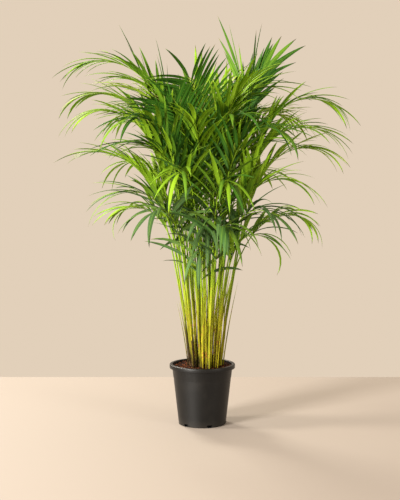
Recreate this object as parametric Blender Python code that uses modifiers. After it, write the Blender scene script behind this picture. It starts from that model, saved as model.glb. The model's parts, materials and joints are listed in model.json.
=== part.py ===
"""A clump of young feather palms in a plain nursery pot.

Metres, +Z up, origin at the middle of the pot's flat underside. +X is to the right as
the plant is seen from the front, and +Y is to the back.

Twenty-four seedlings share the pot. Each is one piece, as it grew: a cane with its foot
in the soil, and two or three fronds. A frond is a stalk that arches up and out, with
narrow leaflets in two rows along its outer half. The lowest fronds are young in form, with
a few broad leaflets. Others have only just opened, wholly or halfway, or are still
spears at the top.
"""
import math
import random
from collections import namedtuple

import bmesh
import bpy
from mathutils import Vector, kdtree
from mathutils.bvhtree import BVHTree

# Pot
POT_HEIGHT = 0.195
POT_FOOT_RADIUS = 0.0762
POT_MOUTH_RADIUS = 0.0972
POT_WALL = 0.0018
POT_FLOOR = 0.003
POT_SIDES = 32
LIP_RADIUS = 0.1055
LIP_DROP = 0.013
LIP_THICKNESS = 0.002
COLLAR_DROP = 0.043
COLLAR_STEP = 0.0006
FOOT_ROUNDING = 0.003
DRAIN_COUNT = 6
DRAIN_TURN = 48
DRAIN_WIDTH = 0.017
DRAIN_HEIGHT = 0.0085
DRAIN_DEPTH = 0.012
DRAIN_MARGIN = 0.002

# Soil
SOIL_TOP = 0.188
SOIL_ROUGHNESS = 0.0022
SOIL_RINGS = 3
FIT_GAP = 0.0003

# Waves on the soil's top: radians a metre along X and along Y, and the wave's start
SOIL_WAVES = ((131, 47, 0.0), (-71, 117, 1.3), (203, 203, 0.0))

# How near points are joined: a tube's caps to its walls, and a turned solid at its axis
WELD_DISTANCE = 1e-6
AXIS_MERGE = 0.00005

# Canes
CLUMP_RADIUS = 0.048
CLUMP_MIDDLE = 0.0068
GOLDEN_ANGLE = 137.5
CANE_SHIFT = 0.002
CANE_FOOT = 0.135
CANE_FOOT_RADIUS = 0.0046
CANE_TOP_RADIUS = 0.0036
CANE_LEAN = 0.12
CANE_TOP = 0.40
CANE_BEADS = 40
SHEATH_HEIGHTS = (0.388, 0.32, 0.26)

# Fronds
STALK_RADIUS = 0.0030
STALK_TIP_RADIUS = 0.0015
STALK_LIFTS = (0.54, 0.46, 0.61)
STALK_SWAYS = (0, 2, -2, 4, -4, 6, -6, 8, -8, 11, -11, 14, -14)
STALK_TRIES = [(lift, sway) for lift in STALK_LIFTS for sway in STALK_SWAYS]
STALK_PULL = 0.30
STALK_SPREAD = 0.22
STALK_CLEARANCE = 0.0022
STALK_STEPS = 60
STALK_TILT = 43
BARE_RINGS = 3
LEAFY_RINGS = 3
LEAFY_SHARE = 0.47
BEAD_STEP = 0.005
SHARED_LENGTH = 0.34
LEAFLET_THICKNESS = 0.0013
LEAFLET_BEND_PLACE = 0.42
LEAFLET_ROOT_WIDTH = 0.08
LEAFLET_ROOT_THICKNESS = 0.5
LEAFLET_SINK = 0.0015
LEAFLET_FIRST_SHARE = 0.72
LEAFLET_TAPER_PLACE = 0.35
LEAFLET_LEAST_DROOP = 0.15
LEAFLET_LOWERED = 12
TURN_CHANCE = 5
RAISE_CHANCE = 7
LENGTH_CHANCE = (0.92, 1.06)
DROOP_CHANCE = (0.75, 1.25)
BLADE_CLEARANCE = 0.0007
SEED = 7

FEATHER = "feather"
YOUNG = "young"
SPEAR = "spear"
FRESH = "fresh"
PLUME = "plume"

Frond = namedtuple("Frond", "turn reach height pitch roll kind", defaults=(0, FEATHER))
Blade = namedtuple("Blade", "root along bend across length width droop")

# How each kind of frond carries its leaflets: the length of stalk they stand on, the
# pairs, a leaflet's length and width, its angle to the stalk at the first pair and the
# last, how far it is raised, how far it arches over, in degrees, and how much shorter
# the last leaflet is than the longest.
Habit = namedtuple("Habit", "leafy pairs length width first last raised droop taper")
HABITS = {
    FEATHER: Habit(0.400, 6, 0.195, 0.0140, 42, 16, 24, 58, 0.12),
    YOUNG: Habit(0.150, 2, 0.215, 0.0220, 48, 26, 30, 80, 0.30),
    SPEAR: Habit(0.150, 2, 0.185, 0.0130, 20, 8, 20, 22, 0.0),
    FRESH: Habit(0.270, 5, 0.185, 0.0155, 52, 40, 10, 34, 0.10),
    PLUME: Habit(0.270, 4, 0.170, 0.0160, 30, 12, 12, 26, 0.0),
}

# The ways to bend a leaflet clear: raised by, swung forward by, arched by, and length.
BENDS = (
    (0, 0, 1.0, 1.0), (9, 0, 1.0, 1.0), (-9, 0, 1.0, 1.0), (0, 9, 0.8, 1.0), (0, -9, 1.2, 1.0),
    (16, -6, 0.7, 1.0), (-16, 6, 1.2, 1.0), (6, 14, 0.6, 0.95), (-8, -14, 1.4, 0.95),
    (0, 0, 0.9, 0.8), (12, 8, 0.7, 0.8), (-12, -8, 1.3, 0.8), (22, 0, 0.5, 0.85),
    (-22, 0, 1.4, 0.85), (0, 18, 0.5, 0.7), (0, 0, 1.0, 0.6), (10, -10, 1.0, 0.6),
    (-10, 10, 1.0, 0.6), (0, 0, 0.8, 0.45),
)

# One row of fronds for each cane. turn is where the frond points, in degrees seen from
# above: 0 is right, 90 back, 180 left and 270 front. reach and height are its tip's
# distance from the pot's axis and from the floor, and pitch is the stalk's slope there.
OUTER_FRONDS = (
    (Frond(8, 0.383, 1.040, -11), Frond(14, 0.353, 0.888, 1)),
    (Frond(38, 0.338, 0.997, -6), Frond(28, 0.208, 0.952, 19)),
    (Frond(64, 0.200, 0.940, 20), Frond(47, 0.288, 0.812, -3, 10)),
    (Frond(72, 0.338, 1.032, -11), Frond(80, 0.288, 0.872, -1)),
    (Frond(108, 0.328, 0.972, -6), Frond(100, 0.290, 0.820, -10, 0, YOUNG)),
    (Frond(136, 0.348, 1.002, -9), Frond(144, 0.288, 0.842, 1, -10)),
    (Frond(168, 0.348, 1.062, 3), Frond(150, 0.198, 0.962, 19), Frond(160, 0.250, 0.690, -10, 0, YOUNG)),
    (Frond(190, 0.318, 1.000, 1), Frond(173, 0.313, 0.870, 11)),
    (Frond(206, 0.220, 0.900, 5), Frond(199, 0.243, 0.747, -5)),
    (Frond(222, 0.278, 0.972, -5), Frond(212, 0.180, 0.880, 20), Frond(230, 0.230, 0.690, -18, 0, YOUNG)),
    (Frond(254, 0.245, 0.810, -18), Frond(266, 0.135, 0.565, -50, 0, YOUNG)),
    (Frond(288, 0.250, 0.780, -20), Frond(292, 0.210, 0.640, -24, 0, YOUNG),
     Frond(276, 0.110, 0.640, -40, 0, YOUNG)),
    (Frond(316, 0.278, 0.942, -5), Frond(322, 0.250, 0.690, -16, 0, YOUNG)),
    (Frond(334, 0.200, 0.900, 15), Frond(343, 0.263, 0.787, -3), Frond(338, 0.200, 0.610, -16, 0, YOUNG)),
    (Frond(350, 0.343, 0.947, -7), Frond(356, 0.290, 0.672, -6, 0, YOUNG)),
)
INNER_FRONDS = (
    (Frond(2, 0.180, 1.080, 18, -40), Frond(350, 0.160, 1.095, 86, 0, SPEAR), Frond(330, 0.120, 1.020, 60)),
    (Frond(20, 0.215, 1.135, 50, -60, PLUME), Frond(30, 0.135, 1.130, 112, 0, SPEAR),
     Frond(20, 0.248, 1.012, 14)),
    (Frond(66, 0.230, 1.060, 15), Frond(60, 0.110, 1.080, 55)),
    (Frond(122, 0.248, 1.092, 14), Frond(112, 0.090, 1.060, 84, 0, SPEAR), Frond(92, 0.180, 1.100, 35)),
    (Frond(158, 0.228, 1.072, 24), Frond(176, 0.185, 1.100, 70, 0, SPEAR), Frond(140, 0.160, 1.040, 45)),
    (Frond(184, 0.328, 1.157, -1), Frond(172, 0.220, 1.100, 25)),
    (Frond(214, 0.208, 1.012, 14), Frond(196, 0.116, 1.040, 84, 0, SPEAR), Frond(220, 0.130, 0.980, 60)),
    (Frond(243, 0.090, 1.100, 38, -35, FRESH), Frond(236, 0.165, 1.010, 44, -20, FRESH),
     Frond(262, 0.150, 0.960, 40, 10)),
    (Frond(318, 0.170, 1.070, 42), Frond(300, 0.198, 0.982, 14), Frond(304, 0.130, 0.660, -40, 0, YOUNG)),
)


def start_empty():
    """Remove what the scene starts with."""
    for old in list(bpy.data.objects):
        bpy.data.objects.remove(old, do_unlink=True)


def finish(name, colour, roughness):
    """A plain surface finish."""
    material = bpy.data.materials.new(name)
    material.use_nodes = True
    shader = material.node_tree.nodes["Principled BSDF"]
    shader.inputs["Base Color"].default_value = (*colour, 1.0)
    shader.inputs["Roughness"].default_value = roughness
    shader.inputs["Metallic"].default_value = 0.0
    return material


def add_object(name, mesh, collection, material=None):
    """Put a mesh in a collection as an object."""
    thing = bpy.data.objects.new(name, mesh)
    collection.objects.link(thing)
    if material is not None:
        mesh.materials.clear()
        mesh.materials.append(material)
    return thing


def bake(thing, weld=True):
    """An object's evaluated mesh. A curve's caps are welded to its walls."""
    graph = bpy.context.evaluated_depsgraph_get()
    mesh = bpy.data.meshes.new_from_object(thing.evaluated_get(graph))
    if not weld:
        return mesh
    form = bmesh.new()
    form.from_mesh(mesh)
    bmesh.ops.remove_doubles(form, verts=form.verts, dist=WELD_DISTANCE)
    form.to_mesh(mesh)
    form.free()
    return mesh


def drop(thing):
    """Remove an object for good."""
    bpy.data.objects.remove(thing, do_unlink=True)


def turned(name, profile, sides, collection, material=None):
    """A solid turned about the Z axis from (radius, height) points, top to bottom."""
    mesh = bpy.data.meshes.new(name)
    points = [(radius, 0.0, height) for radius, height in profile]
    mesh.from_pydata(points, [(i, i + 1) for i in range(len(points) - 1)], [])
    thing = add_object(name, mesh, collection, material)
    screw = thing.modifiers.new("Turn", "SCREW")
    screw.steps = sides
    screw.render_steps = sides
    screw.use_merge_vertices = True
    screw.merge_threshold = AXIS_MERGE
    return thing


def boolean(thing, operation, collection, solver="EXACT"):
    """Join or cut an object with everything in a collection, and apply the result."""
    tool = thing.modifiers.new("Join", "BOOLEAN")
    tool.operation = operation
    tool.operand_type = "COLLECTION"
    tool.collection = collection
    tool.solver = solver
    mesh = bake(thing, weld=False)
    thing.modifiers.clear()
    thing.data = mesh
    for other in list(collection.objects):
        drop(other)


def tube(name, points, radii, resolution, collection):
    """A closed tapered tube along points, as a mesh object."""
    curve = bpy.data.curves.new(name, "CURVE")
    curve.dimensions = "3D"
    curve.bevel_depth = 1.0
    curve.bevel_resolution = resolution
    curve.use_fill_caps = True
    spline = curve.splines.new("POLY")
    spline.points.add(len(points) - 1)
    for knot, point, radius in zip(spline.points, points, radii):
        knot.co = (*point, 1.0)
        knot.radius = radius
        knot.tilt = math.radians(STALK_TILT)
    guide = bpy.data.objects.new(name, curve)
    collection.objects.link(guide)
    mesh = bake(guide)
    drop(guide)
    return add_object(name, mesh, collection)


def pot_profile():
    """The pot's wall from the inner floor, over the lip and down to the foot."""
    top = POT_HEIGHT
    skirt = LIP_RADIUS - LIP_THICKNESS
    inner_foot = POT_FOOT_RADIUS - POT_WALL
    inner_mouth = POT_MOUTH_RADIUS - POT_WALL
    neck = POT_MOUTH_RADIUS + COLLAR_STEP
    low_collar = top - COLLAR_DROP
    slope = (POT_MOUTH_RADIUS - POT_FOOT_RADIUS) / (POT_HEIGHT - POT_FLOOR)
    body = POT_FOOT_RADIUS + slope * low_collar
    return (
        (0.0, POT_FLOOR),
        (inner_foot, POT_FLOOR),
        (inner_mouth, top - 0.0018),
        (inner_mouth + 0.0018, top),
        (LIP_RADIUS - 0.003, top),
        (LIP_RADIUS - 0.0008, top - 0.001),
        (LIP_RADIUS, top - 0.0035),
        (LIP_RADIUS - 0.0003, top - LIP_DROP),
        (skirt - 0.0003, top - LIP_DROP),
        (skirt, top - LIP_THICKNESS - 0.001),
        (neck, top - LIP_THICKNESS - 0.001),
        (body + COLLAR_STEP, low_collar + COLLAR_STEP),
        (body, low_collar),
        (POT_FOOT_RADIUS, FOOT_ROUNDING),
        (POT_FOOT_RADIUS - FOOT_ROUNDING, 0.0),
        (0.0, 0.0),
    )


def make_pot(parts, cutters, material):
    """One thin moulded pot with drain notches round its foot."""
    pot = turned("pot", pot_profile(), POT_SIDES, parts, material)
    pot.data = bake(pot)
    pot.modifiers.clear()
    for place in range(DRAIN_COUNT):
        angle = math.radians(DRAIN_TURN + 360 * place / DRAIN_COUNT)
        bpy.ops.mesh.primitive_cube_add(size=1.0)
        notch = bpy.context.object
        notch.name = f"drain_{place}"
        middle = POT_FOOT_RADIUS - DRAIN_DEPTH / 2 + DRAIN_MARGIN
        notch.scale = (DRAIN_DEPTH + 2 * DRAIN_MARGIN, DRAIN_WIDTH, 2 * DRAIN_HEIGHT)
        notch.location = (middle * math.cos(angle), middle * math.sin(angle), 0.0)
        notch.rotation_euler = (0.0, 0.0, angle)
        for home in list(notch.users_collection):
            home.objects.unlink(notch)
        cutters.objects.link(notch)
    bpy.context.view_layer.update()
    boolean(pot, "DIFFERENCE", cutters)
    return pot


def soil_height(x, y):
    """The height of the soil's uneven top."""
    wave = sum(math.sin(x * across + y * back + start) for across, back, start in SOIL_WAVES)
    return SOIL_TOP + SOIL_ROUGHNESS * wave / len(SOIL_WAVES)


def make_soil(parts, material):
    """A plug of potting mix, with an uneven top, that fills the pot under its lip."""
    slope = (POT_MOUTH_RADIUS - POT_FOOT_RADIUS) / (POT_HEIGHT - POT_FLOOR)
    foot = POT_FOOT_RADIUS - POT_WALL - FIT_GAP
    edge = foot + slope * (SOIL_TOP - POT_FLOOR) - FIT_GAP
    low = POT_FLOOR + FIT_GAP
    rings = [(edge * step / SOIL_RINGS, SOIL_TOP) for step in range(SOIL_RINGS + 1)]
    profile = rings + [(foot, low), (0.0, low)]
    soil = turned("soil", profile, POT_SIDES, parts, material)
    soil.data = bake(soil)
    soil.modifiers.clear()
    for vertex in soil.data.vertices:
        if vertex.co.z > SOIL_TOP - 0.001:
            vertex.co.z = soil_height(vertex.co.x, vertex.co.y)
    return soil


def cane_axis(turn, ring, chance):
    """The foot and the top of a cane that leans a little outward."""
    angle = math.radians(turn)
    outward = Vector((math.cos(angle), math.sin(angle), 0.0))
    shift = Vector((chance.uniform(-1, 1), chance.uniform(-1, 1), 0.0)) * CANE_SHIFT
    foot = outward * ring + shift + Vector((CLUMP_MIDDLE, 0.0, CANE_FOOT))
    lean = CANE_LEAN * ring / CLUMP_RADIUS + chance.uniform(-0.01, 0.01)
    rise = CANE_TOP - CANE_FOOT
    return foot, foot + Vector((0.0, 0.0, rise)) + outward * lean * rise


def plant_canes(chance):
    """The canes' feet and tops with their fronds, the inner canes first."""
    count = len(INNER_FRONDS) + len(OUTER_FRONDS)
    spots = []
    for number in range(count):
        ring = CLUMP_RADIUS * math.sqrt((number + 0.5) / count)
        spots.append((number * GOLDEN_ANGLE % 360, ring))
    inner = sorted(spots[:len(INNER_FRONDS)])
    outer = sorted(spots[len(INNER_FRONDS):])
    canes = []
    for (turn, ring), fronds in zip(inner + outer, INNER_FRONDS + OUTER_FRONDS):
        foot, top = cane_axis(turn, ring, chance)
        canes.append((foot, top, fronds))
    return canes


def bezier(corners, t):
    """A point of a cubic Bezier curve."""
    a, b, c, d = corners
    s = 1.0 - t
    return a * s**3 + b * (3 * s * s * t) + c * (3 * s * t * t) + d * t**3


def stalk_route(foot, top, sheath, frond, lift, sway):
    """Points along a frond's stalk, from inside its cane to its tip."""
    share = (sheath - foot.z) / (top.z - foot.z)
    start = foot.lerp(top, share)
    angle = math.radians(frond.turn + sway)
    outward = Vector((math.cos(angle), math.sin(angle), 0.0))
    tip = outward * frond.reach + Vector((0.0, 0.0, frond.height))
    span = (tip - start).length
    aim = (top - foot).normalized() + (tip - start) * (STALK_SPREAD / span)
    pitch = math.radians(frond.pitch)
    end = outward * math.cos(pitch) + Vector((0.0, 0.0, math.sin(pitch)))
    corners = (start, start + aim.normalized() * span * lift, tip - end * span * STALK_PULL, tip)
    return [bezier(corners, step / STALK_STEPS) for step in range(STALK_STEPS + 1)]


class Route:
    """A line through points that gives its place and direction at any distance."""

    def __init__(self, points):
        self.points = points
        self.reached = [0.0]
        for a, b in zip(points, points[1:]):
            self.reached.append(self.reached[-1] + (b - a).length)
        self.length = self.reached[-1]

    def at(self, distance):
        """The point at a distance from the start, and the direction there."""
        last = len(self.points) - 2
        index = 0
        while index < last and self.reached[index + 1] < distance:
            index += 1
        a = self.points[index]
        b = self.points[index + 1]
        share = (distance - self.reached[index]) / (b - a).length
        return a.lerp(b, share), (b - a).normalized()


def leafy_length(kind, route):
    """How much of a stalk carries leaflets: a short stalk keeps a bare part too."""
    return min(HABITS[kind].leafy, LEAFY_SHARE * route.length)


def stalk_rings(kind, route):
    """The few points of a stalk's route that its solid keeps, and their shares."""
    bare = 1.0 - leafy_length(kind, route) / route.length
    shares = [bare * step / BARE_RINGS for step in range(BARE_RINGS)]
    shares += [bare + (1.0 - bare) * step / LEAFY_RINGS for step in range(LEAFY_RINGS + 1)]
    return [route.at(route.length * share)[0] for share in shares], shares


def crowding(beads, own, placed, tree):
    """How deep a stalk runs into the clearance of those already placed."""
    worst = 0.0
    widest = STALK_RADIUS + CANE_FOOT_RADIUS + STALK_CLEARANCE
    for number, (point, _, thickness) in enumerate(beads):
        fused = number * BEAD_STEP < SHARED_LENGTH
        for _, index, distance in tree.find_range(point, widest):
            _, owner, radius = placed[index]
            if owner == own and fused:
                continue
            worst = max(worst, thickness + radius + STALK_CLEARANCE - distance)
    return worst


def string_beads(route, owner):
    """Evenly spaced points along a stalk, each with its palm and its radius."""
    count = int(route.length / BEAD_STEP)
    return [
        (route.at(route.length * step / count)[0], owner, stalk_radius(step / count))
        for step in range(count + 1)
    ]


def stalk_radius(share):
    """The stalk's radius, which tapers from its sheath to its tip."""
    return STALK_RADIUS + (STALK_TIP_RADIUS - STALK_RADIUS) * share**0.8


def settle_stalks(canes):
    """Route every frond's stalk, swung aside a little where it would meet another."""
    placed = []
    for number, (foot, top, _) in enumerate(canes):
        for step in range(CANE_BEADS + 1):
            placed.append((foot.lerp(top, step / CANE_BEADS), number, CANE_FOOT_RADIUS))
    settled = []
    for number, (foot, top, fronds) in enumerate(canes):
        for frond, sheath in zip(fronds, SHEATH_HEIGHTS):
            tree = kdtree.KDTree(len(placed))
            for index, bead in enumerate(placed):
                tree.insert(bead[0], index)
            tree.balance()
            best = None
            for lift, sway in STALK_TRIES:
                smooth = Route(stalk_route(foot, top, sheath, frond, lift, sway))
                rings, shares = stalk_rings(frond.kind, smooth)
                beads = string_beads(Route(rings), number)
                meets = crowding(beads, number, placed, tree)
                if best is None or meets < best[0] - 1e-6:
                    best = (meets, sway, rings, shares, beads)
                if meets <= 0.0:
                    break
            _, sway, rings, shares, beads = best
            settled.append((number, frond, sway, rings, shares))
            placed.extend(beads)
    return settled


def blade_form():
    """A three-sided cone cut once across, as (along, across, up) and faces."""
    form = bmesh.new()
    bmesh.ops.create_cone(form, cap_ends=True, segments=3, radius1=1.0, radius2=0.0, depth=1.0)
    everything = form.verts[:] + form.edges[:] + form.faces[:]
    cut = Vector((0.0, 0.0, LEAFLET_BEND_PLACE - 0.5))
    bmesh.ops.bisect_plane(form, geom=everything, plane_co=cut, plane_no=(0.0, 0.0, 1.0))
    bmesh.ops.remove_doubles(form, verts=form.verts, dist=1e-5)
    form.verts.index_update()
    places = []
    for vertex in form.verts:
        along = vertex.co.z + 0.5
        turn = math.atan2(vertex.co.x, vertex.co.y)
        if along > 0.999:
            places.append((1.0, 0.0, 0.0))
        elif abs(turn) < 0.1:
            places.append((along, 0.0, 1.0))
        else:
            places.append((along, math.copysign(1.0, turn), -1.0))
    faces = [tuple(vertex.index for vertex in face.verts) for face in form.faces]
    form.free()
    return places, faces


def blade_width(along):
    """The share of a leaflet's full width at a place along it."""
    if along >= 1.0:
        return 0.0
    if along < LEAFLET_BEND_PLACE - 1e-6:
        return LEAFLET_ROOT_WIDTH
    return 1.0


def blade_points(blade, places, extra):
    """Where the blade form's points lie on one arched leaflet, grown by extra."""
    side = blade.along.cross(blade.bend)
    points = []
    for along, across, up in places:
        turn = blade.droop * (along + 2 * extra / blade.length * (along > 0.99))
        reach = blade.length * math.sin(turn) / blade.droop
        fall = blade.length * (1.0 - math.cos(turn)) / blade.droop
        middle = blade.root + blade.along * reach + blade.bend * fall
        normal = blade.along * math.sin(turn) - blade.bend * math.cos(turn)
        half = blade.width / 2 * blade_width(along) * abs(across) + extra * abs(across)
        thick = LEAFLET_THICKNESS * (LEAFLET_ROOT_THICKNESS if along < 0.01 else 1.0)
        rise = (thick / 2 + extra) * up
        points.append(middle + side * math.copysign(half, across) + normal * rise)
    return points


def make_blade(root, tangent, side, normal, forward, raised, length, width, droop):
    """One leaflet that leaves its stalk forward and raised, and arches over."""
    across = side * math.cos(raised) + normal * math.sin(raised)
    along = (tangent * math.cos(forward) + across * math.sin(forward)).normalized()
    down = Vector((0.0, 0.0, -1.0))
    bend = down - along * down.dot(along)
    if bend.length < LEAFLET_LEAST_DROOP:
        bend = -normal + along * normal.dot(along)
    steep = min(1.0, bend.length)
    return Blade(root, along, bend.normalized(), side, length, width, max(LEAFLET_LEAST_DROOP, droop * steep))


def leaflet_share(share, taper):
    """The share of full length of a leaflet at a place along the leafy stalk."""
    rise = LEAFLET_FIRST_SHARE + (1.0 - LEAFLET_FIRST_SHARE) * math.sin(math.pi * min(share, 0.5))
    past = max(0.0, share - LEAFLET_TAPER_PLACE) / (1.0 - LEAFLET_TAPER_PLACE)
    return rise * (1.0 - taper * past)


def frond_blades(route, frond, sway, chance):
    """The leaflets of one frond, each as its first choice and the bends to try."""
    habit = HABITS[frond.kind]
    leafy = leafy_length(frond.kind, route)
    angle = math.radians(frond.turn + sway)
    flat_side = Vector((math.sin(angle), -math.cos(angle), 0.0))
    roll = math.radians(frond.roll)
    count = 2 * max(2, round(habit.pairs * leafy / habit.leafy)) + 1
    wanted = []
    for number in range(count):
        share = number / (count - 1)
        root, tangent = route.at(route.length - leafy * (1.0 - share) - LEAFLET_SINK)
        side = (flat_side - tangent * flat_side.dot(tangent)).normalized()
        normal = side.cross(tangent)
        rolled = side * math.cos(roll) + normal * math.sin(roll)
        normal = rolled.cross(tangent)
        hand = 1.0 if number % 2 else -1.0
        last = number == count - 1
        spread = habit.first + (habit.last - habit.first) * share
        forward = 0.0 if last else math.radians(spread + chance.uniform(-TURN_CHANCE, TURN_CHANCE))
        lowered = LEAFLET_LOWERED * share - chance.uniform(-RAISE_CHANCE, RAISE_CHANCE)
        raised = math.radians(habit.raised - lowered)
        size = habit.length * leaflet_share(share, habit.taper) * chance.uniform(*LENGTH_CHANCE)
        droop = math.radians(habit.droop * chance.uniform(*DROOP_CHANCE))
        choices = []
        for lift, swing, curl, shorter in BENDS:
            choices.append(make_blade(
                root, tangent, rolled * hand, normal,
                forward + math.radians(swing), raised + math.radians(lift),
                size * shorter, habit.width, droop * curl,
            ))
        wanted.append(choices)
    return wanted


class Space:
    """What is placed so far, to ask whether a new blade would touch it."""

    def __init__(self):
        self.bodies = []

    def add(self, points, faces, tag):
        """Keep a body's tree and its box."""
        low = Vector(min(p[axis] for p in points) for axis in range(3))
        high = Vector(max(p[axis] for p in points) for axis in range(3))
        self.bodies.append((low, high, BVHTree.FromPolygons(points, faces), tag))

    def free(self, points, faces, own):
        """True where the body touches nothing except what has its own tag."""
        low = [min(p[axis] for p in points) for axis in range(3)]
        high = [max(p[axis] for p in points) for axis in range(3)]
        tree = None
        for other_low, other_high, other, tag in self.bodies:
            if tag == own:
                continue
            if any(other_low[a] > high[a] or other_high[a] < low[a] for a in range(3)):
                continue
            if tree is None:
                tree = BVHTree.FromPolygons(points, faces)
            if other.overlap(tree):
                return False
        return True


def make_palms(parts, pieces, material):
    """Every seedling as one solid: its cane, stalks and leaflets fused."""
    chance = random.Random(SEED)
    canes = plant_canes(chance)
    settled = settle_stalks(canes)
    space = Space()
    bodies = []
    for number, (foot, top, _) in enumerate(canes):
        cane = tube(f"palm_{number:02d}", [foot, top], [CANE_FOOT_RADIUS, CANE_TOP_RADIUS], 1, parts)
        cane.data.materials.append(material)
        bodies.append(cane)
        add_to_space(space, cane, f"cane {number}")
    fronds = []
    for index, (number, frond, sway, rings, shares) in enumerate(settled):
        radii = [stalk_radius(share) for share in shares]
        stalk = tube(f"stalk_{index:02d}", rings, radii, 0, pieces[number])
        add_to_space(space, stalk, f"stalk {index}")
        fronds.append((index, number, frond, sway, Route(rings)))
    places, faces = blade_form()
    for index, number, frond, sway, route in fronds:
        for order, choices in enumerate(frond_blades(route, frond, sway, chance)):
            for blade in choices:
                grown = blade_points(blade, places, BLADE_CLEARANCE)
                if space.free(grown, faces, f"stalk {index}"):
                    break
            else:
                continue
            points = blade_points(blade, places, 0.0)
            space.add(points, faces, f"leaflet {index} {order}")
            mesh = bpy.data.meshes.new(f"leaflet_{index:02d}_{order:02d}")
            mesh.from_pydata([tuple(point) for point in points], [], faces)
            add_object(mesh.name, mesh, pieces[number])
    for body, collection in zip(bodies, pieces):
        boolean(body, "UNION", collection, "MANIFOLD")
    return canes


def add_to_space(space, thing, tag):
    """Keep a mesh object's shape in the space."""
    points = [vertex.co.copy() for vertex in thing.data.vertices]
    faces = [tuple(face.vertices) for face in thing.data.polygons]
    space.add(points, faces, tag)


def main():
    start_empty()
    scene = bpy.context.scene.collection
    parts = bpy.data.collections.new("potted_palm")
    cutters = bpy.data.collections.new("cutters")
    scene.children.link(parts)
    scene.children.link(cutters)
    plastic = finish("pot_plastic", (0.035, 0.032, 0.028), 0.6)
    mix = finish("potting_mix", (0.12, 0.055, 0.028), 0.95)
    leaf = finish("palm_leaf", (0.10, 0.26, 0.03), 0.45)
    make_pot(parts, cutters, plastic)
    soil = make_soil(parts, mix)
    pieces = []
    for number in range(len(INNER_FRONDS) + len(OUTER_FRONDS)):
        collection = bpy.data.collections.new(f"palm_{number:02d}_pieces")
        scene.children.link(collection)
        pieces.append(collection)
    canes = make_palms(parts, pieces, leaf)
    for number, (foot, top, _) in enumerate(canes):
        below = foot - (top - foot).normalized() * FIT_GAP
        radius = CANE_FOOT_RADIUS + FIT_GAP
        tube(f"hole_{number:02d}", [below, top], [radius, radius], 1, cutters)
    boolean(soil, "DIFFERENCE", cutters)
    for collection in pieces + [cutters]:
        bpy.data.collections.remove(collection)


main()
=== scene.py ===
"""Looks of the potted palm: fine fronds, canes, potting mix and pot around the frame.

Metres, +Z up, origin at the middle of the pot's underside, as in the CAD. The plant
follows the CAD palms' rules and sizes, with more and finer leaflets on every frond.
"""
import json
import math
import random
from collections import namedtuple

import bmesh
import bpy
from mathutils import Matrix, Vector, kdtree

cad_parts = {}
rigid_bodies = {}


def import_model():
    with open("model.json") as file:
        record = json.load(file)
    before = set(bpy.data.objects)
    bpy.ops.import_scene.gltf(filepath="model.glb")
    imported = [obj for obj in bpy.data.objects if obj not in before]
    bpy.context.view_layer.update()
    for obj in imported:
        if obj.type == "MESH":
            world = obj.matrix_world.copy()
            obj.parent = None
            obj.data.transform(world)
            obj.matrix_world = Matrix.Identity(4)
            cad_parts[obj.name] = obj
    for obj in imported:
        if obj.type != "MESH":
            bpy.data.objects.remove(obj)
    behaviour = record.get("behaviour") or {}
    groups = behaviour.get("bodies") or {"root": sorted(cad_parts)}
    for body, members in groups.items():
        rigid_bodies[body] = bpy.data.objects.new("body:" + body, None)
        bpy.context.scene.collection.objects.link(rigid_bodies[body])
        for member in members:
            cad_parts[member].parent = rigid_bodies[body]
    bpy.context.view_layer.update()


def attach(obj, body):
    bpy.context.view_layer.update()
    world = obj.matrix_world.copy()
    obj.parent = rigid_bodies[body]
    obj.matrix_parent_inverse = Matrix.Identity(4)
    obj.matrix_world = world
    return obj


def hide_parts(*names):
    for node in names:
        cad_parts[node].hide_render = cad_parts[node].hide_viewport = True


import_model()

# Pot
POT_HEIGHT = 0.195
POT_FOOT_RADIUS = 0.0762
POT_MOUTH_RADIUS = 0.0972
POT_WALL = 0.0018
POT_FLOOR = 0.003
POT_SLOPE = (POT_MOUTH_RADIUS - POT_FOOT_RADIUS) / (POT_HEIGHT - POT_FLOOR)
CORNER_ROUNDING = 0.002
MOUTH_ROUNDING = 0.0018
LIP_RADIUS = 0.1055
LIP_DROP = 0.013
LIP_THICKNESS = 0.002
LIP_TOP_THICKNESS = 0.0028
LIP_DRAFT = 0.0002
LIP_ROUNDING = 0.0030
LIP_EDGE_ROUNDING = 0.0010
HOLLOW_ROUNDING = 0.0020
NECK_ROUNDING = 0.0014
COLLAR_DROP = 0.043
COLLAR_STEP = 0.0006
FOOT_ROUNDING = 0.003
WELD_DISTANCE = 0.00005
SHARP_ANGLE = 40
POT_SIDES = 144
DRAIN_COUNT = 6
DRAIN_TURN = 48
DRAIN_WIDTH = 0.017
DRAIN_HEIGHT = 0.0085
DRAIN_DEPTH = 0.012
DRAIN_SILL = 0.0006
DRAIN_MARGIN = 0.002

# Soil
SOIL_TOP = 0.188
SOIL_UNEVENNESS = 0.0022
FIT_GAP = 0.0003
SOIL_RINGS = 44
SOIL_SIDES = 132
CHIP_SPACING = 0.0022
CHIP_DENSITY = 60000.0
CHIP_SIZE = 0.0021
CHIP_MARGIN = 0.004
CHIP_SEED = 5

# The most that a chip tilts and turns, in radians, and the spans of its proportions.
# Chips lie where the ground's normal rises past LEVEL.
CHIP_TILT = 0.6
CHIP_TURN = 6.28
CHIP_SIZES = (0.45, 1.25)
CHIP_LENGTHS = (0.8, 1.9)
CHIP_WIDTHS = (0.5, 0.9)
CHIP_HEIGHTS = (0.25, 0.6)
LEVEL = 0.5

# Waves on the soil's top: radians a metre along X and along Y, and the wave's start
SOIL_WAVES = ((131, 47, 0.0), (-71, 117, 1.3), (203, 203, 0.0))

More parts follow.
